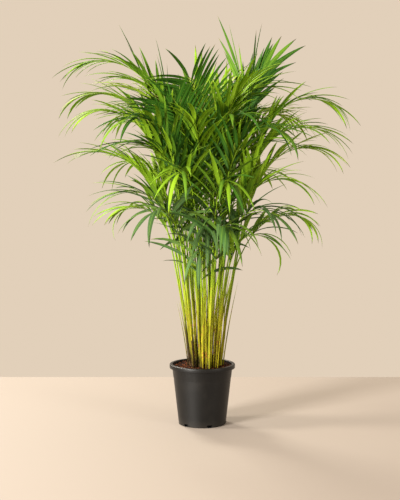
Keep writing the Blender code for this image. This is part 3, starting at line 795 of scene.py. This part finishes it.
def leaflet_form(t):
    """Where a blade's points go: along its own arc, folded at the midrib, to a fine tip."""
    x, y, s = t.kept("blade", True).parts()
    along, bend = t.kept("along", True), t.kept("bend", True)
    droop, size = t.kept("droop"), t.kept("size")
    sine, cosine = t.math("SINE", droop * s), t.math("COSINE", droop * s)
    middle = t.kept("root", True) + along * (size * sine / droop) + bend * (size * (1.0 - cosine) / droop)
    normal = along * sine - bend * cosine
    flat = along.cross(bend)
    turned = t.kept("face") + t.kept("twist") * s
    edge = flat * t.math("COSINE", turned) + normal * t.math("SINE", turned)
    normal = normal * t.math("COSINE", turned) - flat * t.math("SINE", turned)
    outline = t.math("MINIMUM", BLADE_ROOT + BLADE_FLARE * s, 1.0)
    narrowing = t.math("MAXIMUM", s - BLADE_NARROWS_FROM, 0.0) / (1.0 - BLADE_NARROWS_FROM)
    outline = outline * (1.0 - narrowing ** BLADE_POINT)
    half = t.kept("wide") * 0.5 * outline
    ridge = (1.0 - t.math("ABSOLUTE", x)) * half * BLADE_FOLD
    thick = y * BLADE_THICKNESS * (1.0 - BLADE_THINNING * s)
    return middle + edge * (x * half) + normal * (ridge + thick)


def cane_tree():
    """Grows one cane on a line: a tapered rod with sheath rings."""
    t = Tree(
        "cane",
        Geometry="Line",
        Float="Foot radius, Top radius, Ring spacing, Ring offset, Tone",
        Material="Finish",
    )
    line = t.get("GeometryNodeMeshToCurve", links={"Mesh": t.given("Line")})
    line = t.get("GeometryNodeResampleCurve", {"mode": "LENGTH"}, {"Curve": line, "Length": CANE_STEP})
    share = t.get("GeometryNodeSplineParameter", output="Factor")
    length = t.get("GeometryNodeSplineParameter", output="Length")
    phase = t.math("FRACT", (length + t.given("Ring offset")) / t.given("Ring spacing"))
    body = t.between("Foot radius", "Top radius", share)
    radius = body - RING_SWELL / 2 + RING_SWELL * (1.0 - phase) ** 3.0
    whole = t.finish(t.tube(line, CANE_SIDES, radius), "Finish")
    return t.end(t.keep(whole, frond_tone=t.given("Tone")))


def fibre_tree():
    """Grows a slim fibre or shoot on each point of a ring round the foot of a cane."""
    t = Tree(
        "fibres",
        Geometry="Ring",
        Vector="Middle, Axis",
        Float="Length, Width, Thickness, Lean",
        Int="Seed",
        Material="Finish",
    )
    root = t.position()
    points = t.keep(
        t.given("Ring"),
        root=root,
        outward=(root - t.given("Middle", arrow=True)).unit(),
        size=t.given("Length") * t.random(*FIBRE_LENGTHS, 1),
        wide=t.given("Width") * t.random(*FIBRE_WIDTHS, 2),
        lean=t.given("Lean") * t.random(*FIBRE_LEANS, 3),
        sway=t.given("Lean") * t.random(*FIBRE_SWAYS, 4),
    )
    fibres = t.blades(points, FIBRE_STEPS)
    x, y, s = t.kept("blade", True).parts()
    axis, outward, size = t.given("Axis", arrow=True), t.kept("outward", True), t.kept("size")
    edge = outward.cross(axis)
    middle = t.kept("root", True) + axis * (size * s)
    middle = middle + outward * (size * t.kept("lean") * s * s) + edge * (size * t.kept("sway") * s * s)
    point = 1.0 - s ** 2.0
    half = t.kept("wide") * 0.5 * point
    where = middle + edge * (x * half) + outward * (y * t.given("Thickness") * 0.5 * point)
    return t.end(t.finish(t.put(fibres, where), "Finish"))


def litter_tree():
    """Strews chips of bark over level ground, each turned and sized at random."""
    t = Tree(
        "litter",
        Geometry="Ground",
        Float="Spacing, Density, Chip size, Reach",
        Int="Seed",
        Material="Finish",
    )
    ground = t.given("Ground")
    x, y, _ = t.position().parts()
    level = t.get("GeometryNodeInputNormal", arrow=True).parts()[2] > LEVEL
    inside = t.math("SQRT", x * x + y * y) < t.given("Reach")
    points = t.get("GeometryNodeDistributePointsOnFaces", {"distribute_method": "POISSON"}, {
        "Mesh": ground, "Selection": level * inside, "Distance Min": t.given("Spacing"),
        "Density Max": t.given("Density"), "Seed": t.given("Seed"),
    })
    points = t.keep(points, tone=t.random(0.0, 1.0, 1))
    tilt, lean = t.random(-CHIP_TILT, CHIP_TILT, 2), t.random(-CHIP_TILT, CHIP_TILT, 3)
    turn = t.arrow(X=tilt, Y=lean, Z=t.random(0.0, CHIP_TURN, 4))
    size = t.given("Chip size") * t.random(*CHIP_SIZES, 5)
    long, broad = t.random(*CHIP_LENGTHS, 6), t.random(*CHIP_WIDTHS, 7)
    thick = t.random(*CHIP_HEIGHTS, 8)
    ball = t.get("GeometryNodeMeshIcoSphere", links={"Radius": 1.0, "Subdivisions": 1})
    scale = t.arrow(X=size * long, Y=size * broad, Z=size * thick)
    chips = t.strew(points, ball, Rotation=turn, Scale=scale)
    links = {"Geometry": t.join(ground, chips), "Material": t.given("Finish")}
    return t.end(t.get("GeometryNodeSetMaterial", links=links))


def add_object(name, data):
    """Put a mesh, a lamp or a camera in the scene."""
    thing = bpy.data.objects.new(name, data)
    bpy.context.scene.collection.objects.link(thing)
    return thing


def grow(name, mesh, tree, values):
    """The plain mesh that a tree makes from a mesh, with its named inputs set."""
    thing = add_object(name, mesh)
    modifier = thing.modifiers.new("grow", "NODES")
    modifier.node_group = tree
    for item in tree.interface.items_tree:
        if item.name in values:
            modifier[item.identifier] = values[item.name]
    graph = bpy.context.evaluated_depsgraph_get()
    result = bpy.data.meshes.new_from_object(thing.evaluated_get(graph))
    bpy.data.objects.remove(thing, do_unlink=True)
    return result


def joined(name, meshes):
    """Several meshes as one object."""
    things = [add_object(name, mesh) for mesh in meshes]
    with bpy.context.temp_override(active_object=things[0], selected_editable_objects=things):
        bpy.ops.object.join()
    things[0].name = name
    return things[0]


def line_mesh(points, loose=False):
    """A mesh of points, joined by edges or loose."""
    mesh = bpy.data.meshes.new("line")
    mesh.from_pydata(points, [] if loose else [(i, i + 1) for i in range(len(points) - 1)], [])
    return mesh


def ring_mesh(middle, axis, count, radius, start):
    """Points on a ring round a cane's foot."""
    outward = axis.cross(Vector((0.0, 1.0, 0.0))).normalized() * radius
    turns = [math.radians(start + 360 * index / count) for index in range(count)]
    return line_mesh([middle + Matrix.Rotation(turn, 3, axis) @ outward for turn in turns], loose=True)


def cane_axis(turn, ring, chance):
    """The foot and the top of a cane that leans a little outward."""
    angle = math.radians(turn)
    outward = Vector((math.cos(angle), math.sin(angle), 0.0))
    shift = Vector((chance.uniform(-1, 1), chance.uniform(-1, 1), 0.0)) * CANE_SHIFT
    foot = outward * ring + shift + Vector((CLUMP_MIDDLE, 0.0, CANE_FOOT))
    lean = CANE_LEAN * ring / CLUMP_RADIUS + chance.uniform(-CANE_LEAN_SPREAD, CANE_LEAN_SPREAD)
    rise = CANE_TOP - CANE_FOOT
    return foot, foot + Vector((0.0, 0.0, rise)) + outward * lean * rise


def plant_canes(chance):
    """The canes' feet and tops with their fronds, the inner canes first."""
    count = len(INNER_FRONDS) + len(OUTER_FRONDS)
    spots = []
    for number in range(count):
        ring = CLUMP_RADIUS * math.sqrt((number + 0.5) / count)
        spots.append((number * GOLDEN_ANGLE % 360, ring))
    inner = sorted(spots[:len(INNER_FRONDS)])
    outer = sorted(spots[len(INNER_FRONDS):])
    canes = []
    for (turn, ring), rows in zip(inner + outer, INNER_FRONDS + OUTER_FRONDS):
        foot, top = cane_axis(turn, ring, chance)
        canes.append((foot, top, [Frond(*row) for row in rows]))
    return canes


def bezier(corners, t):
    """A point of a cubic Bezier curve."""
    a, b, c, d = corners
    s = 1.0 - t
    return a * s**3 + b * (3 * s * s * t) + c * (3 * s * t * t) + d * t**3


def stalk_route(foot, top, sheath, frond, lift, sway):
    """Points along a frond's stalk, from inside its cane to its tip."""
    share = (sheath - foot.z) / (top.z - foot.z)
    start = foot.lerp(top, share)
    angle = math.radians(frond.turn + sway)
    outward = Vector((math.cos(angle), math.sin(angle), 0.0))
    tip = outward * frond.reach + Vector((0.0, 0.0, frond.height))
    span = (tip - start).length
    aim = (top - foot).normalized() + (tip - start) * (STALK_SPREAD / span)
    pitch = math.radians(frond.pitch)
    end = outward * math.cos(pitch) + Vector((0.0, 0.0, math.sin(pitch)))
    corners = (start, start + aim.normalized() * span * lift, tip - end * span * STALK_PULL, tip)
    return [bezier(corners, step / STALK_STEPS) for step in range(STALK_STEPS + 1)]


class Route:
    """A line through points."""

    def __init__(self, points):
        self.points = points
        self.reached = [0.0]
        for a, b in zip(points, points[1:]):
            self.reached.append(self.reached[-1] + (b - a).length)
        self.length = self.reached[-1]

    def at(self, distance):
        """The point at a distance from the start."""
        last = len(self.points) - 2
        index = 0
        while index < last and self.reached[index + 1] < distance:
            index += 1
        a, b = self.points[index:index + 2]
        return a.lerp(b, (distance - self.reached[index]) / (b - a).length)


def leafy_length(kind, route):
    """How much of a stalk carries leaflets: a short stalk keeps a bare part too."""
    return min(HABITS[kind].leafy, LEAFY_SHARE * route.length)


def stalk_rings(kind, route):
    """The few points of a stalk's route that its CAD solid keeps."""
    bare = 1.0 - leafy_length(kind, route) / route.length
    shares = [bare * step / BARE_RINGS for step in range(BARE_RINGS)]
    shares += [bare + (1.0 - bare) * step / LEAFY_RINGS for step in range(LEAFY_RINGS + 1)]
    return [route.at(route.length * share) for share in shares]


def crowding(beads, own, placed, tree):
    """How deep a stalk runs into the clearance of those already placed."""
    worst = 0.0
    widest = STALK_RADIUS + CANE_FOOT_RADIUS + STALK_CLEARANCE
    for number, (point, _, thickness) in enumerate(beads):
        fused = number * BEAD_STEP < SHARED_LENGTH
        for _, index, distance in tree.find_range(point, widest):
            _, owner, radius = placed[index]
            if owner == own and fused:
                continue
            worst = max(worst, thickness + radius + STALK_CLEARANCE - distance)
    return worst


def string_beads(route, owner):
    """Evenly spaced points along a stalk, each with its palm and the stalk's radius there."""
    count = int(route.length / BEAD_STEP)
    beads = []
    for step in range(count + 1):
        radius = STALK_RADIUS + (STALK_TIP_RADIUS - STALK_RADIUS) * (step / count)**STALK_TAPER
        beads.append((route.at(route.length * step / count), owner, radius))
    return beads


def settle_stalks(canes):
    """Route every frond's stalk as the CAD does, swung aside where it would meet another."""
    placed = []
    for number, (foot, top, _) in enumerate(canes):
        for step in range(CANE_BEADS + 1):
            placed.append((foot.lerp(top, step / CANE_BEADS), number, CANE_FOOT_RADIUS))
    settled = []
    for number, (foot, top, fronds) in enumerate(canes):
        for frond, sheath in zip(fronds, SHEATH_HEIGHTS):
            tree = kdtree.KDTree(len(placed))
            for index, bead in enumerate(placed):
                tree.insert(bead[0], index)
            tree.balance()
            best = None
            for lift, sway in STALK_TRIES:
                smooth = stalk_route(foot, top, sheath, frond, lift, sway)
                beads = string_beads(Route(stalk_rings(frond.kind, Route(smooth))), number)
                meets = crowding(beads, number, placed, tree)
                if best is None or meets < best[0] - 1e-6:
                    best = (meets, sway, smooth, beads)
                if meets <= 0.0:
                    break
            _, sway, smooth, beads = best
            settled.append((number, frond, sway, smooth))
            placed.extend(beads)
    return settled


def grow_foot(number, foot, top, nodes, fibre, stalk):
    """The dry fibres and the slim shoots that stand round the foot of a cane."""
    axis = (top - foot).normalized()
    middle = foot + axis * ((SOIL_TOP - FIBRE_SINK - CANE_FOOT) / axis.z)
    fibres = max(FIBRES_LEAST, round(FIBRES - FIBRES_TO_THE_LEFT * foot.x))
    grown = []
    for count, ring, length, width, thickness, lean, finish in (
        (fibres, FIBRE_RING, FIBRE_LENGTH, FIBRE_WIDTH, FIBRE_THICKNESS, FIBRE_LEAN, fibre),
        (SHOOTS, SHOOT_RING, SHOOT_LENGTH, SHOOT_WIDTH, SHOOT_WIDTH, SHOOT_LEAN, stalk),
    ):
        points = ring_mesh(middle, axis, count, ring, number * GOLDEN_ANGLE)
        grown.append(grow(f"tufts_{number}", points, nodes, {
            "Middle": tuple(middle), "Axis": tuple(axis), "Length": length, "Width": width,
            "Thickness": thickness, "Lean": lean, "Seed": number, "Finish": finish,
        }))
    return grown


def make_palms(leaf, stalk, fibre):
    """Every palm as one fine piece that stands for its CAD node."""
    canes = plant_canes(random.Random(SEED))
    tone_chance = random.Random(SEED + 1)
    frond_nodes = frond_tree()
    cane_nodes = cane_tree()
    fibre_nodes = fibre_tree()
    meshes = []
    for number, (foot, top, _) in enumerate(canes):
        tone = tone_chance.random()
        cane = grow(f"cane_{number}", line_mesh([foot, top]), cane_nodes, {
            "Foot radius": CANE_FOOT_RADIUS, "Top radius": CANE_TOP_RADIUS, "Ring spacing": RING_SPACING,
            "Ring offset": tone_chance.uniform(0.0, RING_SPACING), "Tone": tone, "Finish": stalk,
        })
        meshes.append([cane, *grow_foot(number, foot, top, fibre_nodes, fibre, stalk)])
    for index, (number, frond, sway, smooth) in enumerate(settle_stalks(canes)):
        habit = HABITS[frond.kind]
        leafy = leafy_length(frond.kind, Route(smooth))
        pairs = max(2, round(habit.pairs * leafy / habit.leafy))
        angle = math.radians(frond.turn + sway)
        tone = tone_chance.uniform(habit.dark, habit.bright)
        # Painted back light and shade: brighter at the back, darker at the front and at the sides
        tone = tone + PAINTED_BACKLIGHT * math.sin(angle) - PAINTED_SIDE_SHADE * abs(math.cos(angle))
        meshes[number].append(grow(f"frond_{index}", line_mesh(smooth), frond_nodes, {
            "Stalk radius": STALK_RADIUS, "Tip radius": STALK_TIP_RADIUS * STALK_TIP_FINENESS,
            "Leafy length": leafy, "Leaflets": 2 * pairs + 1, "Length": habit.length, "Width": habit.width,
            "First angle": float(habit.first), "Last angle": float(habit.last),
            "Raised": float(habit.raised), "Droop": float(habit.droop), "Taper": float(habit.taper),
            "Roll": float(frond.roll), "Facing": habit.facing, "Looseness": habit.loose,
            "Side": (math.sin(angle), -math.cos(angle), 0.0), "Tone": tone, "Seed": index,
            "Stalk finish": stalk, "Leaf finish": leaf,
        }))
    for number, parts in enumerate(meshes):
        palm = joined(f"grown_palm_{number:02d}", parts)
        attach(palm, "root")
        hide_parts(f"palm_{number:02d}")


def arc(centre_x, centre_z, radius, first, last, steps):
    """Points on an arc, angles in degrees from +X towards +Z."""
    angles = [math.radians(first + (last - first) * step / steps) for step in range(steps + 1)]
    return [(centre_x + radius * math.cos(angle), centre_z + radius * math.sin(angle)) for angle in angles]


def pot_profile():
    """The pot's section from the inner floor, over the lip and down to the underside."""
    top = POT_HEIGHT
    inner_foot = POT_FOOT_RADIUS - POT_WALL
    inner_mouth = POT_MOUTH_RADIUS - POT_WALL
    under = top - LIP_DROP
    neck = POT_MOUTH_RADIUS + COLLAR_STEP
    low_collar = top - COLLAR_DROP
    body = POT_FOOT_RADIUS + POT_SLOPE * low_collar
    hollow = top - LIP_TOP_THICKNESS
    hollow_edge = LIP_RADIUS - LIP_THICKNESS - 2 * LIP_DRAFT
    edge = LIP_RADIUS - LIP_DRAFT - LIP_EDGE_ROUNDING
    points = [(0.0, POT_FLOOR)]
    for rounding in (
        (inner_foot - CORNER_ROUNDING, POT_FLOOR + CORNER_ROUNDING, CORNER_ROUNDING, -90, -5, 4),
        (inner_mouth + MOUTH_ROUNDING, top - MOUTH_ROUNDING, MOUTH_ROUNDING, 180, 90, 5),
        (LIP_RADIUS - LIP_ROUNDING, top - LIP_ROUNDING, LIP_ROUNDING, 90, 0, 7),
        (edge, under + LIP_EDGE_ROUNDING, LIP_EDGE_ROUNDING, 0, -180, 6),
        (hollow_edge - HOLLOW_ROUNDING, hollow - HOLLOW_ROUNDING, HOLLOW_ROUNDING, 0, 90, 4),
        (neck + NECK_ROUNDING, hollow - NECK_ROUNDING, NECK_ROUNDING, 90, 180, 4),
        (body, low_collar + COLLAR_STEP, COLLAR_STEP, 0, -90, 4),
        (POT_FOOT_RADIUS - FOOT_ROUNDING, FOOT_ROUNDING, FOOT_ROUNDING, 4, -90, 6),
    ):
        points += arc(*rounding)
    return points + [(0.0, 0.0)]


def make_pot(material):
    """The moulded pot: a turned shell with a rolled lip and drain notches."""
    pot = add_object("nursery_pot", line_mesh([(radius, 0.0, height) for radius, height in pot_profile()]))
    screw = pot.modifiers.new("turn", "SCREW")
    screw.steps = POT_SIDES
    screw.render_steps = POT_SIDES
    screw.use_merge_vertices = True
    screw.merge_threshold = WELD_DISTANCE
    cutters = bpy.data.collections.new("drain_cutters")
    bpy.context.scene.collection.children.link(cutters)
    for place in range(DRAIN_COUNT):
        angle = math.radians(DRAIN_TURN + 360 * place / DRAIN_COUNT)
        middle = POT_FOOT_RADIUS - DRAIN_DEPTH / 2 + DRAIN_MARGIN
        bpy.ops.mesh.primitive_cube_add(
            size=1.0,
            scale=(DRAIN_DEPTH + 2 * DRAIN_MARGIN, DRAIN_WIDTH, DRAIN_HEIGHT),
            rotation=(0.0, 0.0, angle),
            location=(middle * math.cos(angle), middle * math.sin(angle), DRAIN_SILL + DRAIN_HEIGHT / 2),
        )
        notch = bpy.context.object
        for home in list(notch.users_collection):
            home.objects.unlink(notch)
        cutters.objects.link(notch)
    cut = pot.modifiers.new("drains", "BOOLEAN")
    cut.operation = "DIFFERENCE"
    cut.operand_type = "COLLECTION"
    cut.collection = cutters
    cut.solver = "EXACT"
    graph = bpy.context.evaluated_depsgraph_get()
    result = bpy.data.meshes.new_from_object(pot.evaluated_get(graph))
    pot.modifiers.clear()
    pot.data = result
    for notch in list(cutters.objects):
        bpy.data.objects.remove(notch, do_unlink=True)
    bpy.data.collections.remove(cutters)
    result.materials.clear()
    result.materials.append(material)
    result.shade_smooth()
    result.set_sharp_from_angle(angle=math.radians(SHARP_ANGLE))
    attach(pot, "root")
    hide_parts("pot")


def soil_height(x, y):
    """The height of the soil's uneven top."""
    wave = sum(math.sin(x * across + y * back + start) for across, back, start in SOIL_WAVES)
    return SOIL_TOP + SOIL_UNEVENNESS * wave / len(SOIL_WAVES)


def make_soil(material):
    """The potting mix: an uneven top strewn with chips, over the plug that fills the pot."""
    foot = POT_FOOT_RADIUS - POT_WALL - FIT_GAP
    edge = foot + POT_SLOPE * (SOIL_TOP - POT_FLOOR) - FIT_GAP
    low = POT_FLOOR + FIT_GAP
    form = bmesh.new()
    rows = []
    for ring in range(1, SOIL_RINGS + 1):
        radius = edge * ring / SOIL_RINGS
        row = []
        for side in range(SOIL_SIDES):
            angle = 2 * math.pi * side / SOIL_SIDES
            x, y = radius * math.cos(angle), radius * math.sin(angle)
            row.append(form.verts.new((x, y, soil_height(x, y))))
        rows.append(row)
    rim = rows[-1]
    for radius, height in ((foot, low + DRAIN_DEPTH / 2), (foot - DRAIN_DEPTH, low)):
        rows.append([form.verts.new((v.co.x * radius / edge, v.co.y * radius / edge, height)) for v in rim])
    centre = form.verts.new((0.0, 0.0, soil_height(0.0, 0.0)))
    base = form.verts.new((0.0, 0.0, low))
    for side in range(SOIL_SIDES):
        after = (side + 1) % SOIL_SIDES
        form.faces.new((centre, rows[0][side], rows[0][after]))
        form.faces.new((base, rows[-1][after], rows[-1][side]))
        for inner, outer in zip(rows, rows[1:]):
            form.faces.new((inner[side], outer[side], outer[after], inner[after]))
    mesh = bpy.data.meshes.new("potting_mix")
    form.to_mesh(mesh)
    form.free()
    mesh = grow("potting_mix", mesh, litter_tree(), {
        "Spacing": CHIP_SPACING, "Density": CHIP_DENSITY, "Chip size": CHIP_SIZE,
        "Reach": edge - CHIP_MARGIN, "Seed": CHIP_SEED, "Finish": material,
    })
    soil = add_object("potting_mix_top", mesh)
    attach(soil, "root")
    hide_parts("soil")


def make_stage():
    """Floor, lights, backdrop colour and camera."""
    bpy.ops.mesh.primitive_plane_add(size=2 * FLOOR_REACH, location=(0.0, FLOOR_BACK - FLOOR_REACH, 0.0))
    floor = bpy.context.object
    floor.name = "floor"
    floor.data.materials.append(floor_material())
    world = bpy.data.worlds.new("studio")
    bpy.context.scene.world = world
    world.use_nodes = True
    g = Graph(world.node_tree)
    sky = g.get("ShaderNodeBackground", links={"Color": BACKDROP, "Strength": 1.0})
    g.add("ShaderNodeOutputWorld", links={"Surface": sky})
    for name, lamp in LAMPS.items():
        add_light(name, *lamp)
    lens = bpy.data.cameras.new("camera")
    lens.lens = CAMERA_LENS
    camera = add_object("camera", lens)
    camera.location = CAMERA_PLACE
    camera.rotation_euler = (math.radians(90 + CAMERA_TILT), 0.0, 0.0)
    bpy.context.scene.camera = camera
    bpy.context.scene.view_settings.view_transform = "Standard"


def add_light(name, place, target, size, power, tint):
    """A soft square lamp aimed at a point."""
    lamp = bpy.data.lights.new(name, "AREA")
    lamp.size = size
    lamp.energy = power
    lamp.color = tint
    holder = add_object(name, lamp)
    holder.location = place
    holder.rotation_euler = (Vector(target) - Vector(place)).to_track_quat("-Z", "Y").to_euler()


make_stage()
make_palms(leaf_material(), stalk_material(), fibre_material())
make_pot(pot_material())
make_soil(soil_material())
